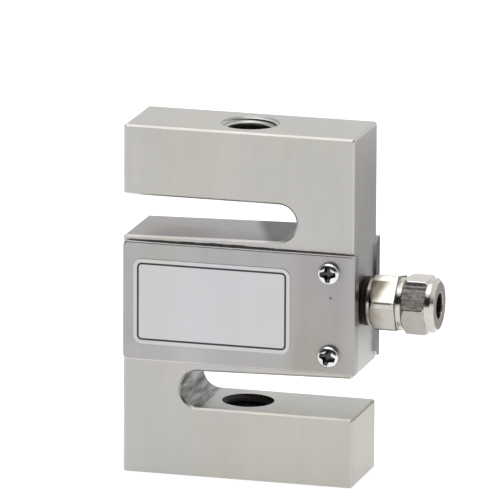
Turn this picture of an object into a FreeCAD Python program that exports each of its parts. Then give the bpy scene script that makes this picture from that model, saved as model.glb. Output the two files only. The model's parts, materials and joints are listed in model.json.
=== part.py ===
# S-type load cell: a slotted sensing block with two pressed covers, their gaskets and screws,
# a nameplate, a cable gland and the strain gauge bridge inside the block.
#
# Millimetres. +X points out of the cable gland, +Y to the rear cover and +Z up. The origin is
# where the axis of the two mounting threads meets the bottom face.

import FreeCAD, Part
import math
import os
import re

import Sketcher
from FreeCAD import Placement, Rotation, Vector

SIZES = {
    # the slotted block
    "block_width": (50.8, "block along X"),
    "block_height": (76.2, "block along Z"),
    "block_depth": (18.5, "block along Y"),
    "arm_height": (15.2, "top or bottom arm, from its face to its slot"),
    "slot_width": (8.05, "slot at its round end"),
    "slot_flare": (1.4, "angle by which a slot opens towards its mouth, on the middle bar's side"),
    "spine_width": (12.65, "metal between a slot's round end and the block's side"),
    "corner_radius": (0.6, "rounding of the block's corners that run along Y"),
    "edge_chamfer": (0.4, "chamfer round the block's front and rear outlines"),
    "mount_bore": (10.2, "tapping bore of an M12 x 1.75 mounting thread"),
    "mount_countersink": (12.7, "countersink at the mouth of a mounting thread"),
    "mount_break": (0.3, "edge break where a mounting thread meets its slot"),
    # the cavity in the middle bar
    "cell_bore": (20.0, "each of the two bores through the middle bar"),
    "cell_spacing": (18.0, "distance between the two bores"),
    "cell_neck": (9.0, "height of the slot that joins the bores"),
    "gauge_flat": (7.0, "width of the flat milled above and below each bore"),
    "board_flat_depth": (0.4, "depth of the terminal board's flat past the bore's end"),
    "board_flat": (8.6, "height of the terminal board's flat"),
    # covers and gaskets
    "cover_height": (26.1, "cover along Z"),
    "cover_inset": (0.15, "cover's left end inside the block's side"),
    "cover_sheet": (0.6, "sheet thickness of a cover"),
    "cover_rise": (1.1, "cover's outer face above the block's face"),
    "cover_corner": (1.2, "radius of a cover's left corners"),
    "cover_bend": (0.45, "rounding of a cover's pressed edges"),
    "flange_reach": (2.0, "cover's flange along the block's right side"),
    "flange_cut": (1.2, "cut at the flange's free corners"),
    "gasket_slack": (0.1, "space between a gasket's edge and the cover's rim"),
    "gasket_margin": (0.6, "gasket's window outside the cavity"),
    # cover screws
    "screw_size": (2.5, "thread of a cover screw"),
    "screw_length": (6.0, "cover screw under its head"),
    "screw_head": (4.8, "diameter of a cover screw's pan head"),
    "screw_head_height": (1.7, "height of a cover screw's head"),
    "screw_head_wall": (0.9, "height of the upright wall of the head"),
    "screw_top": (3.2, "diameter of the head's flat top"),
    "screw_recess": (3.8, "span of the cross recess"),
    "screw_recess_width": (1.2, "width of a wing of the cross recess"),
    "screw_recess_depth": (1.1, "depth of the cross recess"),
    "screw_inset": (5.0, "cover screw's axis from the block's right side"),
    "screw_edge": (4.0, "cover screw's axis from the cover's upper or lower edge"),
    "screw_hole_room": (0.4, "extra diameter of the screw's hole in the cover and gasket"),
    "screw_hole_spare": (1.5, "tapped hole beyond the screw's tip"),
    "thread_slack": (0.05, "space round a plain shank that stands for a thread"),
    # nameplate
    "plate_width": (34.6, "nameplate along X"),
    "plate_height": (18.6, "nameplate along Z"),
    "plate_sheet": (0.2, "nameplate's thickness"),
    "plate_corner": (1.9, "nameplate's corner radius"),
    "plate_inset": (2.6, "nameplate's left edge from the block's left side"),
    # cable gland
    "gland_rise": (1.05, "gland's axis above the block's middle"),
    "gland_thread": (8.0, "gland's thread in the block"),
    "gland_thread_length": (5.5, "length of that thread"),
    "gland_bore": (5.6, "bore through the gland"),
    "gland_flats": (11.6, "across flats, of the body and of the nut"),
    "gland_neck": (10.2, "diameter of the round neck between sealing ring and hexagon"),
    "gland_neck_length": (0.9, "length of that neck"),
    "gland_hex_length": (5.7, "hexagon of the gland's body"),
    "gland_nose_length": (0.8, "that hexagon's chamfer at the neck, along the axis"),
    "gland_nose_drop": (0.9, "that hexagon's chamfer at the neck, across the axis"),
    "collar_diameter": (11.0, "round collar between body and nut"),
    "collar_length": (1.1, "length of that collar"),
    "nut_thread": (9.2, "thread between body and nut"),
    "nut_thread_length": (4.5, "length of that thread on the body"),
    "nut_gap": (0.1, "gap between collar and nut"),
    "nut_hex_length": (5.25, "hexagon of the nut"),
    "nut_lead_length": (0.9, "nut's chamfer at the collar, along the axis"),
    "nut_lead_drop": (1.0, "nut's chamfer at the collar, across the axis"),
    "nut_tail_chamfer": (0.4, "chamfer at the other end of the nut's hexagon"),
    "nut_ring_diameter": (11.8, "round ring at the nut's outer end"),
    "nut_ring_length": (1.9, "length of that ring"),
    "nut_end_chamfer": (0.8, "chamfer at the nut's outer end"),
    "o_ring_section": (1.5, "sealing ring's squeezed thickness along the axis"),
    "o_ring_width": (1.3, "sealing ring's width across the axis"),
    "o_ring_taper": (0.45, "taper of the sealing ring's outer edges"),
    "seal_diameter": (7.2, "pocket for the rubber bush"),
    "seal_depth": (3.9, "depth of that pocket"),
    "seal_proud": (0.1, "bush beyond the body's mouth"),
    "seal_slack": (0.05, "space round the bush"),
    "cable_diameter": (5.0, "cable that the bush grips"),
    "clamp_ring_diameter": (7.6, "washer between bush and nut"),
    "clamp_ring_length": (1.2, "thickness of that washer"),
    "clamp_ring_room": (0.1, "space round that washer in the nut"),
    # strain gauge bridge
    "gauge_length": (6.4, "gauge foil along X"),
    "gauge_width": (5.0, "gauge foil along Y"),
    "gauge_sheet": (0.12, "gauge foil's thickness"),
    "tab_size": (1.1, "side of a gauge's solder tab"),
    "tab_offset": (1.6, "solder tab's middle from the gauge's middle, along X"),
    "tab_sheet": (0.1, "solder tab's thickness"),
    "lead_width": (0.9, "ribbon lead along Y, from a gauge to the board"),
    "lead_sheet": (0.3, "ribbon lead's thickness"),
    "lead_bend": (2.0, "bend radius of a lead"),
    "lead_offset": (1.5, "leads from the middle plane, along Y"),
    "lead_high": (2.6, "height at which a left gauge's lead meets the board"),
    "lead_low": (1.2, "height at which a right gauge's lead meets the board"),
    "board_sheet": (1.0, "terminal board's thickness"),
    "board_height": (8.0, "terminal board along Z"),
    "board_width": (12.0, "terminal board along Y"),
    "chip_length": (3.2, "trim resistor along Z"),
    "chip_width": (1.6, "trim resistor along Y"),
    "chip_height": (0.6, "trim resistor's height above the board"),
    "chip_offset": (4.3, "trim resistor's middle from the board's middle"),
}

OVERRUN = 1.0  # how far a cutting profile runs past the face that it opens
WINDOW_TURN = 22.5  # half the turn at each corner of a gasket's eight-sided window, degrees
WINGS = (2, -15)  # how far the upper and lower screws' recesses were turned when tightened, degrees
BODY_HEX_TURN = 19  # where a corner of the gland's body came to rest when tightened, degrees
NUT_HEX_TURN = 30  # the same for its nut, one corner of which points forwards

SIDE = "block_width / 2"
MIDDLE = "block_height / 2"
FACE = "block_depth / 2"
SCREW_Z = "(cover_height / 2 - screw_edge)"  # a cover screw's axis above or below the middle
HEX_RADIUS = "gland_flats / sqrt(3)"
GLAND_Z = MIDDLE + " + gland_rise"
BOARD_X = "-(cell_spacing / 2 + cell_bore / 2 + board_flat_depth)"  # the board's back

doc = FreeCAD.newDocument("s_type_load_cell")
volumes = {}  # each body's volume after its last feature


# ---------------------------------------------------------------- sizes and expressions


def make_sheet():
    """Write the driving dimensions to a spreadsheet, one alias each."""
    sheet = doc.addObject("Spreadsheet::Sheet", "Sizes")
    for row, (name, (value, meaning)) in enumerate(SIZES.items(), start=1):
        sheet.set(f"A{row}", meaning)
        sheet.set(f"B{row}", str(value))
        sheet.setAlias(f"B{row}", name)
    doc.recompute()
    return sheet


def linked(formula):
    """The formula with each size's name turned into a reference to its cell."""
    return re.sub(r"[a-z]+(_[a-z]+)+", lambda match: "Sizes." + match.group(0), str(formula))


def number(formula):
    """What a formula of sizes comes to now."""
    value = sheet.evalExpression(linked(formula))
    return float(getattr(value, "Value", value))


def bind(item, **formulas):
    """Tie properties of a document object to formulas of sizes."""
    for name, formula in formulas.items():
        item.setExpression(name, linked(formula))


def place(item, x="0", y="0", z="0", rotation=None):
    """Give an object its place, each coordinate tied to a formula."""
    item.Placement = Placement(Vector(), rotation or Rotation())
    for axis, formula in zip("xyz", (x, y, z)):
        item.setExpression(f"Placement.Base.{axis}", linked(formula))


# ---------------------------------------------------------------- bodies, sketches, features


def new_body(label, x="0", y="0", z="0", rotation=None):
    """An empty PartDesign body at its place in the load cell."""
    body = doc.addObject("PartDesign::Body", label)
    body.Label = label
    place(body, x, y, z, rotation)
    return body


def origin_feature(body, role):
    """One of the body's own origin planes or axes."""
    return next(item for item in body.Origin.OriginFeatures if item.Role == role)


def new_sketch(body, name, plane, offset="0"):
    """A sketch on an origin plane of the body, lifted off it along the sketch's normal."""
    sketch = body.newObject("Sketcher::SketchObject", name)
    sketch.AttachmentSupport = [(origin_feature(body, plane), "")]
    sketch.MapMode = "FlatFace"
    sketch.setExpression("AttachmentOffset.Base.z", linked(offset))
    return sketch


def pin_coordinate(sketch, kind, item, corner, formula):
    """Tie one coordinate of a vertex to a formula, measured from the sketch's origin."""
    value = number(formula)
    if abs(value) < 1e-7:
        axis = -2 if kind == "DistanceX" else -1
        sketch.addConstraint(Sketcher.Constraint("PointOnObject", item, corner, axis))
    elif value > 0:
        index = sketch.addConstraint(Sketcher.Constraint(kind, -1, 1, item, corner, value))
        sketch.setExpression(f"Constraints[{index}]", linked(formula))
    else:
        index = sketch.addConstraint(Sketcher.Constraint(kind, item, corner, -1, 1, -value))
        sketch.setExpression(f"Constraints[{index}]", linked(f"-({formula})"))


def pin_vertex(sketch, item, corner, x, y):
    """Tie both coordinates of a vertex."""
    pin_coordinate(sketch, "DistanceX", item, corner, x)
    pin_coordinate(sketch, "DistanceY", item, corner, y)


def add_outline(sketch, corners):
    """A closed polygon whose corners are pairs of formulas."""
    points = [Vector(number(x), number(y), 0) for x, y in corners]
    first = sketch.GeometryCount
    for start, end in zip(points, points[1:] + points[:1]):
        sketch.addGeometry(Part.LineSegment(start, end), False)
    for step, (x, y) in enumerate(corners):
        line = first + step
        following = first + (step + 1) % len(corners)
        sketch.addConstraint(Sketcher.Constraint("Coincident", line, 2, following, 1))
        pin_vertex(sketch, line, 1, x, y)


def add_rectangle(sketch, left, bottom, right, top):
    """A rectangle between four formulas."""
    add_outline(sketch, [(left, bottom), (right, bottom), (right, top), (left, top)])


def add_circle(sketch, x, y, diameter):
    """A circle with its centre and diameter tied to formulas."""
    centre = Vector(number(x), number(y), 0)
    circle = Part.Circle(centre, Vector(0, 0, 1), number(diameter) / 2)
    index = sketch.addGeometry(circle, False)
    pin_vertex(sketch, index, 3, x, y)
    size = sketch.addConstraint(Sketcher.Constraint("Diameter", index, number(diameter)))
    sketch.setExpression(f"Constraints[{size}]", linked(diameter))


def add_hexagon(sketch, radius, turn):
    """A hexagon about the sketch's origin, its first corner turned from the sketch's X axis."""
    angles = [turn + 60 * corner for corner in range(6)]
    add_outline(sketch, [(f"{radius} * cos({a})", f"{radius} * sin({a})") for a in angles])


def pad(body, sketch, length, inward=False, symmetric=False):
    """Material on a sketch; inward goes against the sketch's normal."""
    feature = body.newObject("PartDesign::Pad", sketch.Name + "_pad")
    feature.Profile = sketch
    feature.SideType = "Symmetric" if symmetric else "One side"
    feature.Reversed = inward
    bind(feature, Length=length)
    return finish(body, feature)


def pocket(body, sketch, length=None, reverse=False):
    """A cut against the sketch's normal, or through the whole body when it has no length."""
    feature = body.newObject("PartDesign::Pocket", sketch.Name + "_pocket")
    feature.Profile = sketch
    feature.Reversed = reverse
    if length is None:
        feature.SideType = "Symmetric"
        feature.Type = "ThroughAll"
    else:
        bind(feature, Length=length)
    return finish(body, feature, cuts=True)


def turn(body, sketch, axis, cut=False):
    """A full revolution of a sketch about one of the body's axes, as metal or as a cut."""
    kind = "Groove" if cut else "Revolution"
    feature = body.newObject("PartDesign::" + kind, sketch.Name + "_turned")
    feature.Profile = sketch
    feature.ReferenceAxis = (origin_feature(body, axis), [""])
    feature.Angle = 360
    return finish(body, feature, cuts=cut)


def repeat(body, kind, originals, name, **settings):
    """A pattern or mirror of features, which counts once it is the body's tip."""
    feature = body.newObject("PartDesign::" + kind, name)
    feature.Originals = originals
    for key, value in settings.items():
        setattr(feature, key, value)
    return finish(body, feature, cuts=True)


def dress(body, kind, edges, size, name):
    """A fillet or chamfer on the edges that a test picks from the body's present shape."""
    base = body.Tip
    names = [f"Edge{i}" for i, edge in enumerate(base.Shape.Edges, start=1) if edges(edge)]
    if not names:
        raise ValueError(f"{body.Label}: {name} found no edge")
    feature = body.newObject("PartDesign::" + kind, name)
    feature.Base = (base, names)
    bind(feature, **{"Radius" if kind == "Fillet" else "Size": size})
    return finish(body, feature)


def finish(body, feature, cuts=False):
    """Make the feature the tip, and be sure that a cut took metal away."""
    body.Tip = feature
    doc.recompute()
    volume = feature.Shape.Volume
    if cuts and not volume < volumes[body.Name] - 1e-4:
        raise ValueError(f"{body.Label}: {feature.Name} cuts nothing")
    volumes[body.Name] = volume
    return feature


def runs_along(axis):
    """A test for straight edges along X, Y or Z (0, 1 or 2)."""

    def test(edge):
        if not isinstance(edge.Curve, Part.Line):
            return False
        return abs(abs(edge.Curve.Direction[axis]) - 1) < 1e-6

    return test


def lies_at(axis, value):
    """A test for edges whose points all have one coordinate, of either sign."""

    def test(edge):
        low, high = edge.BoundBox.getPoint(0)[axis], edge.BoundBox.getPoint(6)[axis]
        return abs(high - low) < 1e-5 and abs(abs(low) - value) < 1e-5

    return test


def both(*tests):
    """A test that holds where each of the given ones does."""
    return lambda edge: all(test(edge) for test in tests)


# ---------------------------------------------------------------- the block


def slot_sketch(body):
    """The upper slot: open to the left, round at its right end, and wider at its mouth.

    Its upper side is level, and its lower side falls towards the mouth by slot_flare.
    """
    radius = number("slot_width / 2")
    flare = math.radians(number("slot_flare"))
    centre_x = "block_width / 2 - spine_width - slot_width / 2"
    centre_z = "block_height / 2 - arm_height - slot_width / 2"
    mouth = -number(SIDE) - OVERRUN
    centre = Vector(number(centre_x), number(centre_z), 0)
    touch = centre + radius * Vector(math.sin(flare), -math.cos(flare), 0)
    fall = (touch.x - mouth) * math.tan(flare)
    top_left = Vector(mouth, centre.y + radius, 0)
    low_left = Vector(mouth, touch.y - fall, 0)

    sketch = new_sketch(body, "slot", "XZ_Plane")
    circle = Part.Circle(centre, Vector(0, 0, 1), radius)
    end = Part.ArcOfCircle(circle, flare - math.pi / 2, math.pi / 2)
    geometry = [
        Part.LineSegment(top_left, centre + Vector(0, radius, 0)),
        end,
        Part.LineSegment(touch, low_left),
        Part.LineSegment(low_left, top_left),
    ]
    sketch.addGeometry(geometry, False)
    for constraint in (
        ("Tangent", 0, 2, 1, 2),
        ("Tangent", 1, 1, 2, 1),
        ("Coincident", 2, 2, 3, 1),
        ("Coincident", 3, 2, 0, 1),
        ("Horizontal", 0),
        ("Vertical", 3),
    ):
        sketch.addConstraint(Sketcher.Constraint(*constraint))
    size = sketch.addConstraint(Sketcher.Constraint("Radius", 1, radius))
    sketch.setExpression(f"Constraints[{size}]", linked("slot_width / 2"))
    pin_vertex(sketch, 1, 3, centre_x, centre_z)
    pin_coordinate(sketch, "DistanceX", 3, 1, f"-({SIDE} + {OVERRUN})")
    # the angle between the level side and the flared one, both read from right to left
    angle = sketch.addConstraint(Sketcher.Constraint("Angle", 0, 1, 2, 2, flare))
    sketch.setExpression(f"Constraints[{angle}]", linked("slot_flare") + " * 1 deg")
    return sketch


def mount_profile(body):
    """Half the section of a mounting thread: countersink, tapping bore and inner edge break."""
    top, inner = MIDDLE, f"{MIDDLE} - arm_height"
    bore, sink = "mount_bore / 2", "mount_countersink / 2"
    sketch = new_sketch(body, "mount", "XZ_Plane")
    add_outline(
        sketch,
        [
            ("0", f"{top} + {OVERRUN}"),
            ("0", f"{inner} - {OVERRUN}"),
            (f"{bore} + mount_break + {OVERRUN}", f"{inner} - {OVERRUN}"),
            (bore, f"{inner} + mount_break"),
            (bore, f"{top} - ({sink} - {bore})"),
            (f"{sink} + {OVERRUN}", f"{top} + {OVERRUN}"),
        ],
    )
    return sketch


def cut_cavity(body):
    """Two joined bores through the middle bar, with flats for the gauges and the board."""
    bore = new_sketch(body, "cell_bore", "XZ_Plane")
    add_circle(bore, "cell_spacing / 2", "0", "cell_bore")
    bore_cut = pocket(body, bore)
    flats = new_sketch(body, "gauge_flats", "XZ_Plane")
    add_rectangle(
        flats,
        "cell_spacing / 2 - gauge_flat / 2",
        "-cell_bore / 2",
        "cell_spacing / 2 + gauge_flat / 2",
        "cell_bore / 2",
    )
    flats_cut = pocket(body, flats)
    mirror = (origin_feature(body, "YZ_Plane"), [""])
    repeat(body, "Mirrored", [bore_cut, flats_cut], "left_bore", MirrorPlane=mirror)
    neck = new_sketch(body, "cell_neck", "XZ_Plane")
    add_rectangle(neck, "-cell_spacing / 2", "-cell_neck / 2", "cell_spacing / 2", "cell_neck / 2")
    pocket(body, neck)
    notch = new_sketch(body, "board_notch", "XZ_Plane")
    add_rectangle(notch, BOARD_X, "-board_flat / 2", "-cell_spacing / 2", "board_flat / 2")
    pocket(body, notch)


def make_block():
    """The one-piece sensing block, its two halves alike by half a turn about Y."""
    body = new_body("s_body", z=MIDDLE)
    outline = new_sketch(body, "block", "XZ_Plane")
    add_rectangle(outline, f"-{SIDE}", f"-{MIDDLE}", SIDE, MIDDLE)
    pad(body, outline, "block_depth", symmetric=True)
    slot_cut = pocket(body, slot_sketch(body))
    mount_cut = turn(body, mount_profile(body), "Z_Axis", cut=True)
    half_turn = (origin_feature(body, "Y_Axis"), [""])
    repeat(
        body, "PolarPattern", [slot_cut, mount_cut], "lower_half",
        Axis=half_turn, Angle=360, Occurrences=2,
    )
    sides = both(runs_along(1), lies_at(0, number(SIDE)))
    dress(body, "Fillet", sides, "corner_radius", "corners")
    dress(body, "Chamfer", lies_at(1, number(FACE)), "edge_chamfer", "outline_chamfer")
    cut_cavity(body)

    port = new_sketch(body, "gland_port", "YZ_Plane", offset="cell_spacing / 2")
    add_circle(port, "0", "gland_rise", "gland_thread")
    pocket(body, port, f"{SIDE} - cell_spacing / 2", reverse=True)

    holes = new_sketch(body, "screw_holes", "XZ_Plane", offset=FACE)
    for height in (SCREW_Z, f"-{SCREW_Z}"):
        add_circle(holes, f"{SIDE} - screw_inset", height, "screw_size")
    depth = "screw_length - cover_rise + screw_hole_spare"
    front_holes = pocket(body, holes, depth)
    mirror = (origin_feature(body, "XZ_Plane"), [""])
    repeat(body, "Mirrored", [front_holes], "rear_screw_holes", MirrorPlane=mirror)
    return body


# ---------------------------------------------------------------- covers, gaskets, nameplate


def add_screw_holes(body, name):
    """The two screw holes of a cover or gasket."""
    holes = new_sketch(body, name, "XZ_Plane")
    for height in (SCREW_Z, f"-{SCREW_Z}"):
        add_circle(holes, f"{SIDE} - screw_inset", height, "screw_size + screw_hole_room")
    pocket(body, holes)


def make_cover(label, front):
    """A pressed cover: a shallow tray over the middle bar, with a flange on the right side.

    The body's XZ plane lies on the block's face, and its sketches' normals point forwards.
    """
    body = new_body(label, y=f"-{FACE}" if front else FACE, z=MIDDLE)
    left, right = f"-({SIDE} - cover_inset)", f"{SIDE} + cover_sheet"
    low, high = "-cover_height / 2", "cover_height / 2"
    tray = new_sketch(body, label + "_tray", "XZ_Plane")
    add_rectangle(tray, left, low, right, high)
    pad(body, tray, "cover_rise", inward=not front)
    corners = both(runs_along(1), lies_at(0, number(f"{SIDE} - cover_inset")))
    dress(body, "Fillet", corners, "cover_corner", label + "_corners")
    flange = new_sketch(body, label + "_flange", "XZ_Plane")
    add_rectangle(flange, SIDE, low, right, high)
    pad(body, flange, "flange_reach", inward=front)
    free_corners = both(runs_along(0), lies_at(1, number("flange_reach")))
    dress(body, "Chamfer", both(free_corners, lies_at(2, number(high))), "flange_cut",
          label + "_flange_cut")
    dress(body, "Fillet", lies_at(1, number("cover_rise")), "cover_bend", label + "_bend")
    recess = new_sketch(body, label + "_recess", "XZ_Plane")
    add_rectangle(
        recess,
        f"{left} + cover_sheet",
        f"{low} + cover_sheet",
        f"{SIDE} - cover_sheet",
        f"{high} - cover_sheet",
    )
    pocket(body, recess, "cover_rise - cover_sheet", reverse=front)
    add_screw_holes(body, label + "_holes")
    return body


def make_gasket(label, front):
    """A foam gasket that fills the cover's tray, with an eight-sided window round the cavity."""
    body = new_body(label, y=f"-{FACE}" if front else FACE, z=MIDDLE)
    edge = "(cover_sheet + gasket_slack)"
    sheet_outline = new_sketch(body, label + "_sheet", "XZ_Plane")
    add_rectangle(
        sheet_outline,
        f"-({SIDE} - cover_inset) + {edge}",
        f"-cover_height / 2 + {edge}",
        f"{SIDE} - {edge}",
        f"cover_height / 2 - {edge}",
    )
    pad(body, sheet_outline, "cover_rise - cover_sheet", inward=not front)
    window = new_sketch(body, label + "_window", "XZ_Plane")
    half = "(cell_bore / 2 + gasket_margin)"
    bevel = f"{half} * tan({WINDOW_TURN})"
    far, near = f"(cell_spacing / 2 + {half})", f"(cell_spacing / 2 + {bevel})"
    add_outline(
        window,
        [
            (far, f"-{bevel}"), (far, bevel), (near, half), (f"-{near}", half),
            (f"-{far}", bevel), (f"-{far}", f"-{bevel}"), (f"-{near}", f"-{half}"), (near, f"-{half}"),
        ],
    )
    pocket(body, window)
    add_screw_holes(body, label + "_holes")
    return body


def make_nameplate():
    """The rounded plate glued to the front cover."""
    middle = f"-{SIDE} + plate_inset + plate_width / 2"
    body = new_body("nameplate", x=middle, y=f"-({FACE} + cover_rise)", z=MIDDLE)
    outline = new_sketch(body, "plate", "XZ_Plane")
    add_rectangle(
        outline, "-plate_width / 2", "-plate_height / 2", "plate_width / 2", "plate_height / 2"
    )
    pad(body, outline, "plate_sheet")
    dress(body, "Fillet", runs_along(1), "plate_corner", "plate_corners")
    return body


# ---------------------------------------------------------------- cover screws


def make_screw(label, front, upper):
    """A pan head screw; its own Z axis points out of its head."""
    tilt = Rotation(Vector(1, 0, 0), 90 if front else -90)
    twist = Rotation(Vector(0, 0, 1), WINGS[0] if upper else WINGS[1])
    face = f"{FACE} + cover_rise"
    height = f"{MIDDLE} {'+' if upper else '-'} {SCREW_Z}"
    body = new_body(
        label, x=f"{SIDE} - screw_inset", y=f"-({face})" if front else face, z=height,
        rotation=tilt * twist,
    )
    shank = "screw_size / 2 - thread_slack"
    profile = new_sketch(body, label + "_profile", "XZ_Plane")
    add_outline(
        profile,
        [
            ("0", "-screw_length"),
            (shank, "-screw_length"),
            (shank, "0"),
            ("screw_head / 2", "0"),
            ("screw_head / 2", "screw_head_wall"),
            ("screw_top / 2", "screw_head_height"),
            ("0", "screw_head_height"),
        ],
    )
    turn(body, profile, "Z_Axis")
    wing, half = "screw_recess / 2", "screw_recess_width / 2"
    cross = new_sketch(body, label + "_cross", "XY_Plane", offset="screw_head_height")
    add_outline(
        cross,
        [
            (wing, half), (half, half), (half, wing),
            (f"-{half}", wing), (f"-{half}", half), (f"-{wing}", half),
            (f"-{wing}", f"-{half}"), (f"-{half}", f"-{half}"), (f"-{half}", f"-{wing}"),
            (half, f"-{wing}"), (half, f"-{half}"), (wing, f"-{half}"),
        ],
    )
    pocket(body, cross, "screw_recess_depth")
    return body


# ---------------------------------------------------------------- cable gland

GLAND_TURN = Rotation(Vector(0, 1, 0), 90)  # the gland's own Z axis points along +X
SHOULDER = "o_ring_section"
HEX_START = f"{SHOULDER} + gland_neck_length"
HEX_END = f"{HEX_START} + gland_hex_length"
COLLAR_END = f"{HEX_END} + collar_length"
BODY_END = f"{COLLAR_END} + nut_thread_length"
RING_START = f"{BODY_END} + seal_proud"
RING_END = f"{RING_START} + clamp_ring_length"


def gland_body(label, distance="0"):
    """An empty body on the gland's axis, a distance out from the block's side."""
    return new_body(label, x=f"{SIDE} + {distance}", z=GLAND_Z, rotation=GLAND_TURN)


def mill_flats(body, start, length, turned):
    """Cut a turned blank to a hexagon between two places on its axis."""
    ring = new_sketch(body, body.Label + "_flats", "XY_Plane", offset=f"{start} + {length}")
    add_circle(ring, "0", "0", f"2 * {HEX_RADIUS} + {OVERRUN}")
    add_hexagon(ring, HEX_RADIUS, turned)
    pocket(body, ring, length)


def make_gland_body():
    """Thread, neck, hexagon, round collar and the nut's thread, turned in one piece."""
    body = gland_body("gland_body")
    bore, seal = "gland_bore / 2", "seal_diameter / 2"
    stub, thread = "gland_thread / 2 - thread_slack", "nut_thread / 2"
    profile = new_sketch(body, "gland_profile", "XZ_Plane")
    add_outline(
        profile,
        [
            (bore, "-gland_thread_length"),
            (stub, "-gland_thread_length"),
            (stub, SHOULDER),
            ("gland_neck / 2", SHOULDER),
            ("gland_neck / 2", HEX_START),
            (f"{HEX_RADIUS} - gland_nose_drop", HEX_START),
            (HEX_RADIUS, f"{HEX_START} + gland_nose_length"),
            (HEX_RADIUS, HEX_END),
            ("collar_diameter / 2", HEX_END),
            ("collar_diameter / 2", COLLAR_END),
            (thread, COLLAR_END),
            (thread, BODY_END),
            (seal, BODY_END),
            (seal, f"{BODY_END} - seal_depth"),
            (bore, f"{BODY_END} - seal_depth"),
        ],
    )
    turn(body, profile, "Z_Axis")
    mill_flats(body, HEX_START, "gland_hex_length", BODY_HEX_TURN)
    return body


def make_gland_nut():
    """The compression nut: a hexagon and a ring with a chamfered end."""
    body = gland_body("gland_nut", f"{COLLAR_END} + nut_gap")
    thread = "nut_thread / 2 + thread_slack"
    ring, clamp = "nut_ring_diameter / 2", "clamp_ring_diameter / 2 + clamp_ring_room"
    inner = "nut_thread_length - nut_gap"
    shoulder = f"{inner} + seal_proud + clamp_ring_length"
    end = "(nut_hex_length + nut_ring_length)"
    profile = new_sketch(body, "nut_profile", "XZ_Plane")
    add_outline(
        profile,
        [
            (thread, "0"),
            (f"{HEX_RADIUS} - nut_lead_drop", "0"),
            (HEX_RADIUS, "nut_lead_length"),
            (HEX_RADIUS, "nut_hex_length - nut_tail_chamfer"),
            (f"{HEX_RADIUS} - nut_tail_chamfer", "nut_hex_length"),
            (ring, "nut_hex_length"),
            (ring, f"{end} - nut_end_chamfer"),
            (f"{ring} - nut_end_chamfer", end),
            ("gland_bore / 2", end),
            ("gland_bore / 2", shoulder),
            (clamp, shoulder),
            (clamp, inner),
            (thread, inner),
        ],
    )
    turn(body, profile, "Z_Axis")
    mill_flats(body, "0", "nut_hex_length", NUT_HEX_TURN)
    return body


def make_tube(label, distance, outer, inner, length):
    """A plain ring on the gland's axis."""
    body = gland_body(label, distance)
    section = new_sketch(body, label + "_section", "XY_Plane")
    add_circle(section, "0", "0", outer)
    add_circle(section, "0", "0", inner)
    pad(body, section, length)
    return body


def make_o_ring():
    """The sealing ring, squeezed between the block's side and the gland's shoulder."""
    body = make_tube(
        "gland_o_ring", "0", "gland_thread + 2 * o_ring_width", "gland_thread", "o_ring_section"
    )
    outer = number("gland_thread / 2 + o_ring_width")

    def outer_rim(edge):
        return len(edge.Vertexes) == 1 and abs(edge.Curve.Radius - outer) < 1e-6

    dress(body, "Chamfer", outer_rim, "o_ring_taper", "o_ring_edges")
    return body


# ---------------------------------------------------------------- strain gauge bridge


def make_gauge(label, x_sign, z_sign):
    """A foil gauge with two solder tabs, glued to the flat of one bore."""
    body = new_body(
        label,
        x=f"{x_sign} * cell_spacing / 2",
        z=f"{MIDDLE} + {z_sign} * cell_bore / 2",
        rotation=Rotation(Vector(1, 0, 0), 180 if z_sign > 0 else 0),
    )
    foil = new_sketch(body, label + "_foil", "XY_Plane")
    add_rectangle(foil, "-gauge_length / 2", "-gauge_width / 2", "gauge_length / 2", "gauge_width / 2")
    pad(body, foil, "gauge_sheet")
    tabs = new_sketch(body, label + "_tabs", "XY_Plane", offset="gauge_sheet")
    for middle in ("lead_offset", "-lead_offset"):
        add_rectangle(
            tabs,
            "-tab_offset - tab_size / 2",
            f"{middle} - tab_size / 2",
            "-tab_offset + tab_size / 2",
            f"{middle} + tab_size / 2",
        )
    pad(body, tabs, "tab_sheet")
    return body


def make_lead(label, x_sign, z_sign):
    """A ribbon lead that drops from a gauge's tab and bends over to the terminal board.

    Its section is swept along two straight runs and the arc between them, in a plane of its own.
    """
    start_x = number(f"{x_sign} * cell_spacing / 2 - tab_offset")
    start_z = z_sign * number("cell_bore / 2 - gauge_sheet - tab_sheet")
    end_x = number(f"{BOARD_X} + board_sheet")
    end_z = z_sign * number("lead_high" if x_sign < 0 else "lead_low")
    bend = number("lead_bend")
    corner = Vector(start_x, 0, end_z)
    before, after = corner + Vector(0, 0, z_sign * bend), corner - Vector(bend, 0, 0)
    centre = before - Vector(bend, 0, 0)
    middle = centre + (corner - centre).normalize() * bend
    start, end = Vector(start_x, 0, start_z), Vector(end_x, 0, end_z)
    edges = [
        Part.LineSegment(start, before).toShape(),
        Part.Arc(before, middle, after).toShape(),
        Part.LineSegment(after, end).toShape(),
    ]
    across, through = number("lead_width / 2"), number("lead_sheet / 2")
    corners = [
        start + Vector(x, y, 0)
        for x, y in ((-through, -across), (through, -across), (through, across), (-through, across))
    ]
    section = Part.makePolygon(corners + corners[:1])
    lead = doc.addObject("Part::Feature", label)
    lead.Label = label
    lead.Shape = Part.Wire(edges).makePipeShell([section], True, True)
    place(lead, y=f"{-x_sign} * lead_offset", z=MIDDLE)
    return lead


def make_plate_on_x(label, x, z_size, y_size, thickness, y="0"):
    """A small rectangular plate that stands on a face square to X."""
    body = new_body(label, x=x, y=y, z=MIDDLE)
    outline = new_sketch(body, label + "_outline", "YZ_Plane")
    add_rectangle(outline, f"-{y_size} / 2", f"-{z_size} / 2", f"{y_size} / 2", f"{z_size} / 2")
    pad(body, outline, thickness)
    return body


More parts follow.
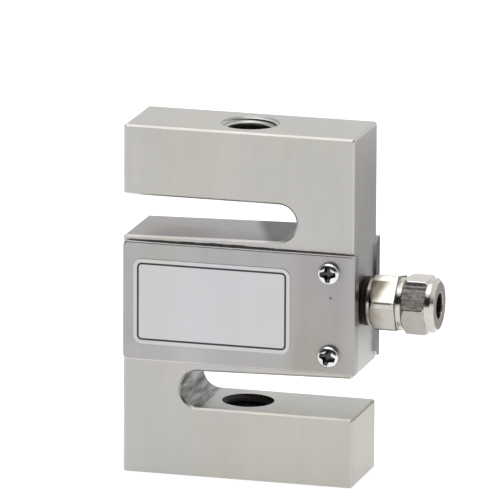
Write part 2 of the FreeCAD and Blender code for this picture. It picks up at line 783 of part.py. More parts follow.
def make_bridge():
    """Four gauges, their leads, the terminal board and its two trim resistors."""
    parts = []
    for level, z_sign in (("upper", 1), ("lower", -1)):
        for side, x_sign in (("left", -1), ("right", 1)):
            parts.append(make_gauge(f"gauge_{level}_{side}", x_sign, z_sign))
            parts.append(make_lead(f"gauge_lead_{level}_{side}", x_sign, z_sign))
    parts.append(
        make_plate_on_x("terminal_board", BOARD_X, "board_height", "board_width", "board_sheet")
    )
    for name, offset in (("zero_trim_resistor", "-chip_offset"), ("span_trim_resistor", "chip_offset")):
        parts.append(
            make_plate_on_x(
                name, f"{BOARD_X} + board_sheet", "chip_length", "chip_width", "chip_height", y=offset
            )
        )
    return parts


# ---------------------------------------------------------------- all of it


def make_parts():
    """Every piece of the load cell."""
    parts = [make_block()]
    for side, front in (("front", True), ("rear", False)):
        parts.append(make_cover(f"{side}_cover", front))
        parts.append(make_gasket(f"{side}_gasket", front))
        parts.append(make_screw(f"{side}_cover_screw_upper", front, True))
        parts.append(make_screw(f"{side}_cover_screw_lower", front, False))
    parts.append(make_nameplate())
    parts += [make_o_ring(), make_gland_body(), make_gland_nut()]
    parts.append(
        make_tube(
            "gland_seal",
            f"{BODY_END} - seal_depth",
            "seal_diameter - 2 * seal_slack",
            "cable_diameter",
            "seal_depth + seal_proud",
        )
    )
    parts.append(
        make_tube(
            "gland_clamp_ring",
            RING_START,
            "clamp_ring_diameter",
            "gland_bore",
            "clamp_ring_length",
        )
    )
    return parts + make_bridge()


def check(parts):
    """Stop if any object failed, or if a piece is not one sound solid."""
    for item in doc.Objects:
        if "Invalid" in item.State or "Error" in item.State:
            raise ValueError(f"{item.Label} failed: {item.State}")
    for part in parts:
        shape = part.Shape
        if shape.isNull() or not shape.isValid() or len(shape.Solids) != 1:
            raise ValueError(f"{part.Label} is not one sound solid")


sheet = make_sheet()
pieces = make_parts()
doc.recompute()
check(pieces)
os.makedirs("parts", exist_ok=True)
for piece in pieces:
    piece.Shape.exportStep(f"parts/{piece.Label}.step")
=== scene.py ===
"""Looks of an S-type load cell: its finishes, mounting threads, screws, nameplate, light and camera."""

import json
import math

import bmesh
import bpy
from mathutils import Matrix, Vector


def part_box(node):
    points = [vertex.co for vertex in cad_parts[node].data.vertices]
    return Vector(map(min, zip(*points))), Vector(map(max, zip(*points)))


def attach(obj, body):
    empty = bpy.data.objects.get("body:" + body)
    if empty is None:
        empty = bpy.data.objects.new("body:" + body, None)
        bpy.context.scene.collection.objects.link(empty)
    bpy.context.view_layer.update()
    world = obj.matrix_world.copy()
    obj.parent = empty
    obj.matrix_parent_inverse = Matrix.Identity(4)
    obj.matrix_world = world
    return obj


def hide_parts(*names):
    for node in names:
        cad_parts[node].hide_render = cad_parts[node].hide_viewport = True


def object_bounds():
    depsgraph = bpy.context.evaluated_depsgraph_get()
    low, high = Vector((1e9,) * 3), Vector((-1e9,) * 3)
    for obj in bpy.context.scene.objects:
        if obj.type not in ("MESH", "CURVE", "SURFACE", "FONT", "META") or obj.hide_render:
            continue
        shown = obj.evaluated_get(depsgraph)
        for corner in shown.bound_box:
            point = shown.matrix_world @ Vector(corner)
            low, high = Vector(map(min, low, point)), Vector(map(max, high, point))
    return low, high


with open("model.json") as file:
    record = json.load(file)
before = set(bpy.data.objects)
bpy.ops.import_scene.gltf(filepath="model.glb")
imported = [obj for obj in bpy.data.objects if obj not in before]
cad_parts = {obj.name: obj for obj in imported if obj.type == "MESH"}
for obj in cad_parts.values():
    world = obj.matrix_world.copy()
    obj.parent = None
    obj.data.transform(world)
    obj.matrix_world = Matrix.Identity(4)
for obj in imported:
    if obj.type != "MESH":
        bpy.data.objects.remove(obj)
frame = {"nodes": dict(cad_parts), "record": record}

MM = 0.001
SCENE = bpy.context.scene
NODES = frame["nodes"]
MOUNTS = {mount["name"]: mount for mount in frame["record"]["mounts"]}
WHITE = (1.0, 1.0, 1.0)
BLOCK_LOW, BLOCK_HIGH = (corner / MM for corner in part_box("s_body"))  # in millimetres
cad_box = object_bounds()


# ---------------------------------------------------------------- shader nodes

MIX_INPUTS = (0, 6, 7)  # a Mix node's sockets for the factor and its two colours
MIX_COLOUR = 2  # and for the colour it gives
FACING_RANGE = (0.6, 0.9)  # share of the normal along an axis, from not facing it to facing it
BEVEL_SAMPLES = 6


class Shader:
    """A small wrapper that adds nodes to one material and links them."""

    def __init__(self, name):
        self.material = bpy.data.materials.new(name)
        self.material.use_nodes = True
        self.nodes = self.material.node_tree.nodes
        self.links = self.material.node_tree.links
        self.bsdf = self.nodes["Principled BSDF"]
        self.position = self.add("ShaderNodeTexCoord").outputs["Object"]
        self.edge_normal = None

    def add(self, kind, **settings):
        node = self.nodes.new(kind)
        for key, value in settings.items():
            setattr(node, key, value)
        return node

    def join(self, source, target):
        """Link an output to an input, or set the input where the source is a plain value."""
        if isinstance(source, bpy.types.NodeSocket):
            self.links.new(source, target)
        else:
            target.default_value = source

    def noise(self, scale, stretch=(1, 1, 1), detail=2.0):
        """Noise of `scale` features a millimetre, drawn out along the axes with a larger stretch."""
        mapping = self.add("ShaderNodeMapping")
        mapping.inputs["Scale"].default_value = [scale / MM / s for s in stretch]
        self.join(self.position, mapping.inputs["Vector"])
        node = self.add("ShaderNodeTexNoise")
        node.inputs["Scale"].default_value = 1.0
        node.inputs["Detail"].default_value = detail
        self.join(mapping.outputs[0], node.inputs["Vector"])
        return node.outputs["Fac"]

    def math(self, operation, *values):
        node = self.add("ShaderNodeMath", operation=operation)
        for value, socket in zip(values, node.inputs):
            self.join(value, socket)
        return node.outputs[0]

    def product(self, first, *others):
        """Values multiplied together."""
        for other in others:
            first = self.math("MULTIPLY", first, other)
        return first

    def rest(self, share):
        """What a share leaves of 1."""
        return self.math("SUBTRACT", 1.0, share)

    def choose(self, mask, outside, inside):
        """One number outside a mask and another inside it."""
        return self.math("MULTIPLY_ADD", mask, inside - outside, outside)

    def span(self, value, low, high, start=0.0, end=1.0):
        """The value's range start..end stretched to low..high."""
        node = self.add("ShaderNodeMapRange")
        for key, number in (("Value", value), ("From Min", start), ("From Max", end),
                            ("To Min", low), ("To Max", high)):
            self.join(number, node.inputs[key])
        return node.outputs["Result"]

    def spread(self, noise, reach, low=0.0, high=1.0):
        """The middle of a noise, up to `reach` on each side of one half, stretched to low..high."""
        return self.span(noise, low, high, 0.5 - reach, 0.5 + reach)

    def step(self, value, start, end):
        """0 up to the start, 1 from the end and smooth between; the start may be the larger one."""
        node = self.add("ShaderNodeMapRange", interpolation_type="SMOOTHSTEP")
        for key, number in (("Value", value), ("From Min", start), ("From Max", end)):
            self.join(number, node.inputs[key])
        return node.outputs["Result"]

    def between(self, value, low, high, soft):
        """1 where a value is between two bounds, 0 outside them, with a soft edge inside each."""
        return self.math("SUBTRACT", self.step(value, low, low + soft), self.step(value, high - soft, high))

    def distance(self, a, b):
        """How far a point is from the origin of two coordinates."""
        return self.math("SQRT", self.math("ADD", self.product(a, a), self.product(b, b)))

    def darken(self, keep, mask, loss):
        """A share of light, cut by a loss inside a mask, or raised where the loss is below 0."""
        return self.product(keep, self.rest(self.product(mask, loss)))

    def mix(self, factor, first, second):
        """Two colours mixed."""
        node = self.add("ShaderNodeMix", data_type="RGBA")
        for value, index in zip((factor, first, second), MIX_INPUTS):
            self.join((*value, 1.0) if isinstance(value, tuple) else value, node.inputs[index])
        return node.outputs[MIX_COLOUR]

    def shaded(self, colour, keep):
        """A colour with only a share of its light kept."""
        node = self.add("ShaderNodeVectorMath", operation="SCALE")
        self.join(colour, node.inputs[0])
        self.join(keep, node.inputs["Scale"])
        return node.outputs[0]

    def times(self, colour, tint):
        """One colour multiplied by another."""
        node = self.add("ShaderNodeVectorMath", operation="MULTIPLY")
        self.join(colour, node.inputs[0])
        self.join(tint, node.inputs[1])
        return node.outputs[0]

    def coordinates(self):
        """The X, Y and Z of the shaded point, in millimetres."""
        split = self.add("ShaderNodeSeparateXYZ")
        self.join(self.position, split.inputs[0])
        return [self.math("DIVIDE", output, MM) for output in split.outputs]

    def direction(self):
        """The X, Y and Z of the surface's normal."""
        split = self.add("ShaderNodeSeparateXYZ")
        self.join(self.add("ShaderNodeNewGeometry").outputs["Normal"], split.inputs[0])
        return split.outputs

    def facing(self, axis):
        """1 where the surface is square to an axis, 0 elsewhere."""
        return self.span(self.math("ABSOLUTE", self.direction()[axis]), 0.0, 1.0, *FACING_RANGE)

    def round_edges(self, radius):
        """Let sharp edges catch the light as if they were rounded."""
        node = self.add("ShaderNodeBevel")
        node.samples = BEVEL_SAMPLES
        node.inputs["Radius"].default_value = radius
        self.edge_normal = node.outputs[0]

    def bump(self, height, distance, strength):
        node = self.add("ShaderNodeBump")
        self.join(strength, node.inputs["Strength"])
        self.join(distance, node.inputs["Distance"])
        self.join(height, node.inputs["Height"])
        if self.edge_normal:
            self.join(self.edge_normal, node.inputs["Normal"])
        self.links.new(node.outputs[0], self.bsdf.inputs["Normal"])

    def glow(self, strength):
        """White light given off by the surface itself."""
        self.bsdf.inputs["Emission Color"].default_value = (*WHITE, 1.0)
        self.bsdf.inputs["Emission Strength"].default_value = strength

    def finish(self, colour, roughness, metallic=0.0):
        self.join((*colour, 1.0) if isinstance(colour, tuple) else colour, self.bsdf.inputs["Base Color"])
        self.join(roughness, self.bsdf.inputs["Roughness"])
        self.bsdf.inputs["Metallic"].default_value = metallic
        return self.material


def fill_ramp(ramp, tones, tint=WHITE):
    """Give a new colour ramp its stops, each a place and a tone, tinted; it has two stops already."""
    stops = ramp.color_ramp.elements
    for index, (place, tone) in enumerate(tones):
        stop = stops[index] if index < 2 else stops.new(place)
        stop.position = place
        stop.color = (*(tone * share for share in tint), 1.0)


# ---------------------------------------------------------------- marks on the block
# Places are in millimetres of the part's frame. A loss is the share of light that a mark takes away,
# and a loss below 0 adds light. Two places with a soft width beside them are the ends of a stretch. Any
# other two places run from where a mark starts to where it is full.

# a purple tint laid with the painted shade on the upper slot's floor
PURPLE_SLOT_SHADE = (0.98, 0.945, 1.0)

BLOCK_MIDDLE = (BLOCK_LOW.z + BLOCK_HIGH.z) / 2
SLOTTED = (15.0, 61.4)  # Z of the stretch that holds both slots
SLOTTED_SOFT = 0.1
# painted shade on the slots' level faces; in the upper slot a painted shadow of the top arm and a patch of
# painted shade; painted shade at the lower slot's left
UPPER_FLOOR_LOSS, LOWER_FLOOR_LOSS = 0.31, 0.07
SHADOW_SLANT, SHADOW_EDGE, SHADOW_LOSS = 0.39, (1.6, 4.4), 0.84  # at the upper slot's round end
PATCH_X, PATCH_SOFT, PATCH_Y, PATCH_LOSS = (-24.0, -3.0), 8.0, (3.0, -3.0), 0.22
LEFT_FLOOR_EDGE, LEFT_FLOOR_LOSS = (-1.4, -3.8), 0.08

# mottled painted shade on the lower slot's round end
ROUND_END_X, ROUND_END_SOFT = (-25.3, -8.2), 0.4  # where the lower slot's mottled wall is
MOTTLE_SCALE, MOTTLE_STRETCH, MOTTLE_DETAIL, MOTTLE_REACH = 0.9, (1, 6, 1), 4, 0.15
MOTTLE_LOSS = (0.75, 0.15)

RIGHT_SIDE = (BLOCK_HIGH.x - 0.2, BLOCK_HIGH.x - 0.1)
# painted shade low on the right side and painted light above it, and a painted shadow of the gland on the
# side
LOW_SIDE, LOW_SIDE_RISE, LOW_SIDE_LOSSES = (33.0, 29.0), (15.2, 24.0), (0.12, -0.09)
GLAND_SHADOW_Z, GLAND_SHADOW_SOFT, GLAND_SHADOW_Y, GLAND_SHADOW_LOSS = (32.5, 42.5), 4.0, (-4.0, -6.5), 0.45

CHAMFER_SLOPE = 0.4  # the least product of two parts of the normal that counts as a chamfer
# painted highlights: losses below 0 that brighten the chamfers
UPRIGHT_CHAMFER_LOSS, SLOT_CHAMFER_LOSS = -0.06, -0.9

BORE_REACH, BORE_Z, BORE_SOFT = 6.4, (61.5, BLOCK_HIGH.z - 0.02), 0.04  # the top hole
# painted shade in the top hole: sine bands for the fine turns, an even share, and more further down
FINE_TURN, FINE_TURN_LOSS, BORE_LOSS = 0.55, 0.3, 0.12  # height of a turn, and how much it shows
DEEP_BORE, DEEP_BORE_LOSS = (74.2, 73.6), 0.5


def mark_slots(s, keep, spot, slotted, upper):
    """Painted shade on the slots' level faces, with a slanted painted shadow in the upper slot, and mottled
    painted shade on the lower one's round end.
    """
    x, y, _ = spot
    lower = s.rest(upper)
    level = s.product(s.facing(2), slotted)
    upper_level = s.product(level, upper)
    # painted shade on the slots' level faces, then the painted shadow, the patch and the lower slot's left
    keep = s.darken(keep, level, s.choose(upper, LOWER_FLOOR_LOSS, UPPER_FLOOR_LOSS))
    slanted = s.math("MULTIPLY_ADD", y, SHADOW_SLANT, x)
    keep = s.darken(keep, s.product(upper_level, s.step(slanted, *SHADOW_EDGE)), SHADOW_LOSS)
    patch = s.product(s.between(x, *PATCH_X, PATCH_SOFT), s.step(y, *PATCH_Y))
    keep = s.darken(keep, s.product(upper_level, patch), PATCH_LOSS)
    keep = s.darken(keep, s.product(level, lower, s.step(x, *LEFT_FLOOR_EDGE)), LEFT_FLOOR_LOSS)
    # mottled painted shade on the lower slot's round end
    mottle = s.noise(MOTTLE_SCALE, MOTTLE_STRETCH, MOTTLE_DETAIL)
    inner = s.product(s.rest(s.facing(1)), slotted)
    round_end = s.product(inner, lower, s.between(x, *ROUND_END_X, ROUND_END_SOFT))
    return s.darken(keep, round_end, s.spread(mottle, MOTTLE_REACH, *MOTTLE_LOSS)), upper_level


def mark_right_side(s, keep, spot):
    """Painted shade at the foot of the right side and painted light just above it, and a painted shadow
    beside the gland.
    """
    x, y, z = spot
    right_side = s.product(s.facing(0), s.step(x, *RIGHT_SIDE))
    low_loss = s.choose(s.step(z, *LOW_SIDE_RISE), *LOW_SIDE_LOSSES)
    keep = s.darken(keep, s.product(right_side, s.step(z, *LOW_SIDE)), low_loss)
    gland_shadow = s.product(s.between(z, *GLAND_SHADOW_Z, GLAND_SHADOW_SOFT), s.step(y, *GLAND_SHADOW_Y))
    return s.darken(keep, s.product(right_side, gland_shadow), GLAND_SHADOW_LOSS)


def mark_chamfers(s, keep, slotted):
    """Painted highlights on the upright chamfers, and stronger painted highlights on the chamfers under the
    middle bar.
    """
    normal = s.direction()
    across, towards = s.math("ABSOLUTE", normal[0]), s.math("ABSOLUTE", normal[1])
    upright = s.math("GREATER_THAN", s.product(across, towards), CHAMFER_SLOPE)
    keep = s.darken(keep, upright, UPRIGHT_CHAMFER_LOSS)
    under = s.math("LESS_THAN", s.product(towards, normal[2]), -CHAMFER_SLOPE)
    return s.darken(keep, s.product(under, slotted), SLOT_CHAMFER_LOSS)


def mark_top_bore(s, keep, spot):
    """Painted bands of light and shade for fine turns in the top hole, with painted shade that grows
    further down.
    """
    x, y, z = spot
    turns = s.math("SINE", s.product(z, 2 * math.pi / FINE_TURN))
    inside = s.math("LESS_THAN", s.distance(x, y), BORE_REACH)
    bore = s.product(inside, s.between(z, *BORE_Z, BORE_SOFT))
    keep = s.darken(keep, bore, s.math("MULTIPLY_ADD", turns, FINE_TURN_LOSS, BORE_LOSS))
    return s.darken(keep, s.product(bore, s.step(z, *DEEP_BORE)), DEEP_BORE_LOSS)


def block_marks(s):
    """Painted shade in the slots and the top hole, painted highlights on the chamfers, and painted shade
    and light on the right side.
    """
    spot = s.coordinates()
    slotted = s.between(spot[2], *SLOTTED, SLOTTED_SOFT)
    upper = s.math("GREATER_THAN", spot[2], BLOCK_MIDDLE)
    keep, upper_level = mark_slots(s, 1.0, spot, slotted, upper)
    keep = mark_right_side(s, keep, spot)
    keep = mark_chamfers(s, keep, slotted)
    keep = mark_top_bore(s, keep, spot)
    return s.shaded(s.mix(upper_level, WHITE, PURPLE_SLOT_SHADE), keep)


# ---------------------------------------------------------------- marks on the covers

# the warm tint of the painted shade beside the screws
WARM_SHADE = (1.0, 0.975, 0.95)
SCREW_ZONE, SCREW_ZONE_SOFT, SCREW_ZONE_LOSS = (10.0, 26.0), 4.0, 0.09  # X beside the screws
# painted light low on the covers' left
LOW_LEFT_Z, LOW_LEFT_X, LOW_LEFT_LOSS = (30.0, 27.5), (8.0, -12.0), -0.08
SPECK_X, SPECK_Z, SPECK_EDGE, SPECK_LOSS = 20.7, 41.75, (0.5, 0.2), 0.5
# painted shade on the covers' flanges, darker still on the rear cover's flange
FLANGE_LOSS = 0.1
REAR_FLANGE_Y, REAR_FLANGE_LOSS = (7.0, 7.2), 0.5
# painted highlight on the covers' lower rim, a loss below 0
UNDERSIDE, UNDERSIDE_LOSS = (-0.2, -0.6), -0.9  # Z of the normal on the covers' lower rim


def cover_marks(s):
    """Warm painted shade beside the screws, painted light low on the left, a speck on the front cover,
    painted shade on the flanges and a painted highlight on the lower rim.
    """
    x, y, z = s.coordinates()
    # painted shade beside the screws
    zone = s.between(x, *SCREW_ZONE, SCREW_ZONE_SOFT)
    keep = s.darken(1.0, zone, SCREW_ZONE_LOSS)
    keep = s.darken(keep, s.product(s.step(z, *LOW_LEFT_Z), s.step(x, *LOW_LEFT_X)), LOW_LEFT_LOSS)
    reach = s.distance(s.math("SUBTRACT", x, SPECK_X), s.math("SUBTRACT", z, SPECK_Z))
    speck = s.product(s.step(reach, *SPECK_EDGE), s.math("LESS_THAN", y, 0.0))
    keep = s.darken(keep, speck, SPECK_LOSS)
    flange = s.facing(0)
    keep = s.darken(keep, flange, FLANGE_LOSS)
    keep = s.darken(keep, s.product(flange, s.step(y, *REAR_FLANGE_Y)), REAR_FLANGE_LOSS)
    keep = s.darken(keep, s.step(s.direction()[2], *UNDERSIDE), UNDERSIDE_LOSS)
    return s.shaded(s.mix(zone, WHITE, WARM_SHADE), keep)


# ---------------------------------------------------------------- marks on the gland

# the brown tint of the painted shade on the body's inner end
BROWN_SHADE = (1.0, 0.95, 0.83)

# painted reflection across the nut's front flat, from its lower edge (0) to its upper one (1)
NUT_FLAT_REFLECTION_TONES = (
    (0.0, 0.7), (0.045, 0.7), (0.06, 1.7), (0.09, 1.5), (0.12, 1.3), (0.64, 1.45), (0.68, 2.3),
    (0.71, 2.1), (0.735, 0.85), (0.785, 0.85), (0.81, 2.6), (0.84, 2.2), (0.86, 0.55), (0.94, 0.55),
    (0.965, 2.6),
)
NUT_FLAT_REFLECTION_TINT = (1.0, 0.95, 0.95)
HEXAGON_HALF_ANGLE = 30  # degrees

# angles round the gland's axis in degrees: 0 is straight down, and the front is negative
FRONT_FLAT, FRONT_FLAT_MIDDLE, LOWER_FLAT, FLAT_SOFT = (-150.3, -89.7), -120.0, (-89.7, -29.7), 0.3
BODY_FRONT, BODY_FRONT_SOFT = (-152.0, -28.0), 3.0
NUT_HEX_START, NUT_HEX_END, NUT_HEX_SOFT = 0.02, 39.95, 0.03  # the start is from the nut's inner end
# painted shade on the nut's lower flat
LOWER_FLAT_LOSS = 0.27
WOBBLE_SCALE, WOBBLE = 0.45, 0.03  # how far the painted reflection bands stray, as a share of the flat's height
SPECKLE_SCALE, SPECKLE_STRETCH, SPECKLE_DETAIL, SPECKLE_REACH = 1.5, (1.6, 1, 1), 3, 0.14
SPECKLE_TONES = (0.62, 1.4)

BODY_END = 33.52  # X of the end of the body's hexagon
BLOTCH_SCALE, BLOTCH = 0.3, 2.0
SHADE_SLANT = 0.6
SHADE_END, LOWER_SHADE_START, UPPER_SHADE_START = 27.3, 31.8, 29.9
SHADE_FROM = (27.7, 27.9)
LOWER_SHADE_LOSS, UPPER_SHADE_LOSS = 0.58, 0.76
# LOWER_HALF_LOSS is painted shade on the body's lower half
AXIS_SOFT, LOWER_HALF_LOSS = 0.1, 0.12
# painted shade on the body's corners and on the rim at its end
CORNER_X, CORNER_SOFT, CORNER_REACH = (28.4, 33.6), 1.0, (6.52, 6.6)
RIM_X, RIM_SOFT, RIM_REACH = (33.28, 33.64), 0.12, (5.6, 5.7)
CORNER_LOSS = 0.72


def nut_flat_reflection_and_speckle(s, angle):
    """Painted reflection bands and speckle across the nut's front flat."""
    half = math.tan(math.radians(HEXAGON_HALF_ANGLE))
    offset = s.math("TANGENT", s.math("RADIANS", s.math("SUBTRACT", angle, FRONT_FLAT_MIDDLE)))
    height = s.span(offset, 1.0, 0.0, -half, half)
    ramp = s.add("ShaderNodeValToRGB")
    fill_ramp(ramp, NUT_FLAT_REFLECTION_TONES, NUT_FLAT_REFLECTION_TINT)
    wobble = s.math("MULTIPLY_ADD", s.noise(WOBBLE_SCALE), WOBBLE, -WOBBLE / 2)
    s.join(s.math("ADD", height, wobble), ramp.inputs["Fac"])
    speckle = s.noise(SPECKLE_SCALE, SPECKLE_STRETCH, SPECKLE_DETAIL)
    return s.shaded(ramp.outputs["Color"], s.spread(speckle, SPECKLE_REACH, *SPECKLE_TONES))


def body_shade(s, x, rise, on_body, upper):
    """The dark, blotched inner end of the gland's body, where it mirrors the block."""
    blotch = s.math("MULTIPLY_ADD", s.noise(BLOTCH_SCALE), BLOTCH, -BLOTCH / 2)
    slant = s.product(s.math("MAXIMUM", rise, 0.0), SHADE_SLANT)
    along = s.math("SUBTRACT", s.math("ADD", x, blotch), slant)
    start = s.choose(upper, LOWER_SHADE_START, UPPER_SHADE_START)
    return s.product(on_body, s.step(along, start, SHADE_END), s.step(x, *SHADE_FROM))


def gland_marks(s):
    """Painted reflection bands on the nut's front flat, painted shade on the nut's lower flat, on the
    body's lower half, corners and end rim, and a darker inner end of the body.
    """
    x, y, z = s.coordinates()
    nut_low, nut_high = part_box("gland_nut")
    rise = s.math("SUBTRACT", z, (nut_low.z + nut_high.z) / 2 / MM)
    angle = s.math("DEGREES", s.math("ARCTAN2", y, s.product(rise, -1.0)))
    reach = s.distance(y, rise)
    upper = s.step(rise, -AXIS_SOFT, AXIS_SOFT)

    on_nut = s.between(x, nut_low.x / MM + NUT_HEX_START, NUT_HEX_END, NUT_HEX_SOFT)
    front_flat = s.product(on_nut, s.between(angle, *FRONT_FLAT, FLAT_SOFT))
    # painted reflection bands and speckle on the nut's front flat
    tint = s.mix(front_flat, WHITE, nut_flat_reflection_and_speckle(s, angle))
    # painted shade on the nut's lower flat
    lower_flat = s.product(on_nut, s.between(angle, *LOWER_FLAT, FLAT_SOFT))
    keep = s.darken(1.0, lower_flat, LOWER_FLAT_LOSS)

    on_body = s.product(s.math("LESS_THAN", x, BODY_END), s.between(angle, *BODY_FRONT, BODY_FRONT_SOFT))
    shade = body_shade(s, x, rise, on_body, upper)
    keep = s.darken(keep, shade, s.choose(upper, LOWER_SHADE_LOSS, UPPER_SHADE_LOSS))
    # painted shade on the body's lower half, its corners and the rim at its end
    keep = s.darken(keep, s.product(on_body, s.rest(upper)), LOWER_HALF_LOSS)
    corner = s.product(s.between(x, *CORNER_X, CORNER_SOFT), s.step(reach, *CORNER_REACH))
    rim = s.product(s.between(x, *RIM_X, RIM_SOFT), s.step(reach, *RIM_REACH))
    keep = s.darken(keep, s.math("MAXIMUM", s.product(on_body, corner), rim), CORNER_LOSS)
    return s.shaded(s.times(tint, s.mix(shade, WHITE, BROWN_SHADE)), keep)


# ---------------------------------------------------------------- materials
# A scale is in features a millimetre. A reach says how much of a noise about its middle is used.

GRAIN_SCALE, GRAIN_DRAWN, GRAIN_SHARE = 7.0, 60, 0.15
BAND_SCALE, BAND_DRAWN, BAND_SHARE = 0.14, 5, 0.45
CLOUD_SCALE, CLOUD_SHARE = 0.06, 0.4
STEEL_REACH = 0.18
HUE_SCALE, HUE_DRAWN, HUE_REACH = 0.055, 2, 0.1
COOL_CLOUD, WARM_CLOUD = (0.995, 0.997, 1.015), (1.005, 1.003, 0.945)
GRAIN_ROUGHNESS, GRAIN_DEPTH, GRAIN_STRENGTH = 0.06, 0.004 * MM, 0.6

PLATING_CLOUDS, PLATING_SPECKS, PLATING_REACH = 0.35, 5.0, 0.15
PLATING_ROUGHNESS = (0.75, 1.3)  # shares of the roughness given
PLATING_DEPTH, PLATING_STRENGTH = 0.003 * MM, 0.5

DULL_CLOUDS, DULL_REACH = 0.5, 0.15
DULL_ROUGHNESS, DULL_STRENGTH = 0.08, 0.6
ROUGHNESS_REACH = 0.2


def ground_steel(name, light, dark, roughness, wear=1.0, marks=None):
    """Nickel-plated steel with fine grinding marks: upright on the sides, along X on level faces."""
    s = Shader(name)
    level = s.facing(2)
    upright = s.noise(GRAIN_SCALE, (1, 1, GRAIN_DRAWN), 3)
    along = s.noise(GRAIN_SCALE, (GRAIN_DRAWN, 1, 1), 3)
    grain = s.math("ADD", s.product(upright, s.rest(level)), s.product(along, level))
    bands = s.noise(BAND_SCALE, (1, 1, BAND_DRAWN), 2)
    clouds = s.noise(CLOUD_SCALE, detail=3)
    tone = s.math("ADD", s.product(bands, BAND_SHARE), s.product(clouds, CLOUD_SHARE))
    tone = s.math("ADD", tone, s.product(grain, GRAIN_SHARE))
    colour = s.mix(s.spread(tone, STEEL_REACH), dark, light)
    hue = s.noise(HUE_SCALE, (1, 1, HUE_DRAWN), 2)
    colour = s.times(colour, s.mix(s.spread(hue, HUE_REACH), COOL_CLOUD, WARM_CLOUD))
    if marks:
        colour = s.times(colour, marks(s))
    change = GRAIN_ROUGHNESS * wear
    s.bump(grain, GRAIN_DEPTH, GRAIN_STRENGTH)
    rough = s.spread(grain, ROUGHNESS_REACH, roughness - change, roughness + change)
    return s.finish(colour, rough, metallic=1.0)


def plated(name, light, dark, roughness, speckle=0.5, edge=0.0, marks=None):
    """Bright plating with soft clouds and fine specks, and edges rounded by `edge` millimetres."""
    s = Shader(name)
    if edge:
        s.round_edges(edge * MM)
    clouds = s.noise(PLATING_CLOUDS, detail=3)
    specks = s.noise(PLATING_SPECKS, detail=4)
    tone = s.math("ADD", s.product(clouds, 1.0 - speckle), s.product(specks, speckle))
    colour = s.mix(s.spread(tone, PLATING_REACH), dark, light)
    if marks:
        colour = s.times(colour, marks(s))
    s.bump(specks, PLATING_DEPTH, PLATING_STRENGTH)
    smoothest, roughest = (roughness * share for share in PLATING_ROUGHNESS)
    return s.finish(colour, s.spread(specks, ROUGHNESS_REACH, smoothest, roughest), metallic=1.0)


def dull(name, light, dark, roughness, grain=3.0, depth=0.01, specular=0.5):
    """Rubber, foam, enamel or board: a mottled surface with a grain `depth` millimetres deep."""
    s = Shader(name)
    s.bsdf.inputs["Specular IOR Level"].default_value = specular
    clouds = s.noise(DULL_CLOUDS, detail=3)
    fine = s.noise(grain, detail=3)
    colour = s.mix(s.spread(clouds, DULL_REACH), dark, light)
    s.bump(fine, depth * MM, DULL_STRENGTH)
    rough = s.spread(fine, ROUGHNESS_REACH, roughness - DULL_ROUGHNESS, roughness + DULL_ROUGHNESS)
    return s.finish(colour, rough)


# the record's material slots, each with its light and dark colour and its roughness
MATERIALS = {
    "block_steel": ground_steel(
        "ground_block_steel", (0.515, 0.50, 0.477), (0.468, 0.458, 0.44), 0.36, marks=block_marks),
    "cover_steel": ground_steel(
        "pressed_cover_steel", (0.435, 0.424, 0.424), (0.36, 0.352, 0.352), 0.34, marks=cover_marks),
    "gasket_foam": dull(
        "black_gasket_foam", (0.05, 0.05, 0.052), (0.025, 0.025, 0.027), 0.85, grain=4.0, depth=0.05),
    "screw_steel": plated(
        "bright_screw_plating", (0.80, 0.81, 0.80), (0.68, 0.69, 0.68), 0.16, speckle=0.4),
    "nameplate_face": ground_steel(
        "satin_nameplate", (0.62, 0.61, 0.62), (0.59, 0.58, 0.59), 0.42, wear=0.5),
    "gland_nickel": plated(
        "gland_nickel_plating", (0.60, 0.572, 0.53), (0.52, 0.495, 0.455), 0.14, edge=0.3,
        marks=gland_marks),
    "seal_rubber": dull(
        "black_seal_rubber", (0.020, 0.015, 0.010), (0.010, 0.007, 0.005), 0.45, specular=0.15),
    "gauge_foil": dull(
        "amber_gauge_foil", (0.55, 0.30, 0.06), (0.44, 0.22, 0.04), 0.35, grain=6.0, depth=0.004),
    "lead_enamel": dull("red_lead_enamel", (0.42, 0.06, 0.03), (0.30, 0.04, 0.02), 0.4),
    "board_green": dull("green_board_laminate", (0.03, 0.16, 0.07), (0.02, 0.11, 0.05), 0.4, grain=5.0),
    "resistor_black": dull(
        "black_resistor_body", (0.03, 0.03, 0.032), (0.015, 0.015, 0.016), 0.5, grain=4.0),
}
# painted shade: a near-black finish for the screws' cross recesses
SHADED_RECESS_STEEL = plated("shaded_recess_steel", (0.10, 0.10, 0.10), (0.05, 0.05, 0.05), 0.35, speckle=0.6)
# painted shade: a near-black finish on the bottom thread's wall
SHADED_BOTTOM_THREAD = dull("painted_shade_bottom_thread", (0.08, 0.07, 0.069), (0.06, 0.052, 0.051), 0.85, depth=0.02)
# painted shade: a dark bead that stands for the shadow in the covers' upper seams
SEAM_SHADE = dull(
    "dark_seam_shade", (0.05, 0.047, 0.042), (0.025, 0.023, 0.021), 0.6, grain=4.0, depth=0.03)
BORDER_INK = dull(
    "dark_border_ink", (0.035, 0.035, 0.042), (0.02, 0.02, 0.026), 0.4, grain=6.0, depth=0.002)


def dress_cad_nodes():
    """Give every CAD node the finish of the slot that the record names for it."""
    for part in frame["record"]["subparts"]:
        for slot in NODES[part["node"]].material_slots:
            slot.material = MATERIALS[part["material_slot"]]


# ---------------------------------------------------------------- mesh helpers


def add_object(name, bm):
    """A scene object from a bmesh, which is used up."""
    mesh = bpy.data.meshes.new(name)
    bm.to_mesh(mesh)
    bm.free()
    item = bpy.data.objects.new(name, mesh)
    SCENE.collection.objects.link(item)
    return item


